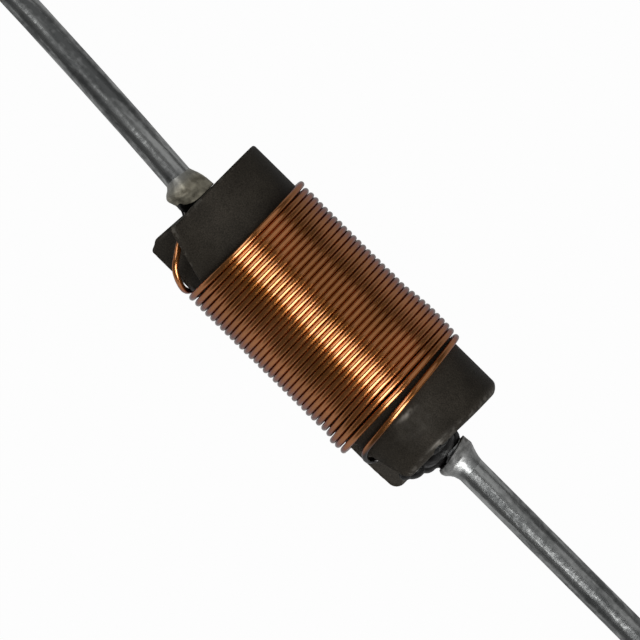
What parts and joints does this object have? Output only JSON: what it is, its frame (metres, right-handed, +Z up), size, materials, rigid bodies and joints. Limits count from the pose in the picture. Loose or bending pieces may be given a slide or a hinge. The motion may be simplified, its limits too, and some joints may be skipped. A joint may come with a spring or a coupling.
{
  "type": "axial inductor",
  "caption": "Axial wire-wound inductor: a single layer of enamelled copper wire on a bare ferrite rod with slotted ends, and a tinned copper lead glued and soldered into each end.",
  "frame": {"origin": "on the surface that the part lies on, under the middle of the core", "axes": "+X along the core from lead A to lead B, +Z up from the surface"},
  "size_m": [0.0524, 0.0045, 0.0045],
  "materials": {
    "sintered_ferrite": "satin",
    "enamelled_copper": "gloss",
    "tinned_copper": "satin",
    "solder": "satin",
    "black_adhesive": "gloss"
  },
  "bodies": {
    "root": {"ferrite_core": "sintered_ferrite", "copper_winding": "enamelled_copper", "lead_a": "tinned_copper", "lead_b": "tinned_copper", "solder_joint_a": "solder", "solder_joint_b": "solder", "adhesive_a": "black_adhesive", "adhesive_b": "black_adhesive"}
  },
  "joints": []
}
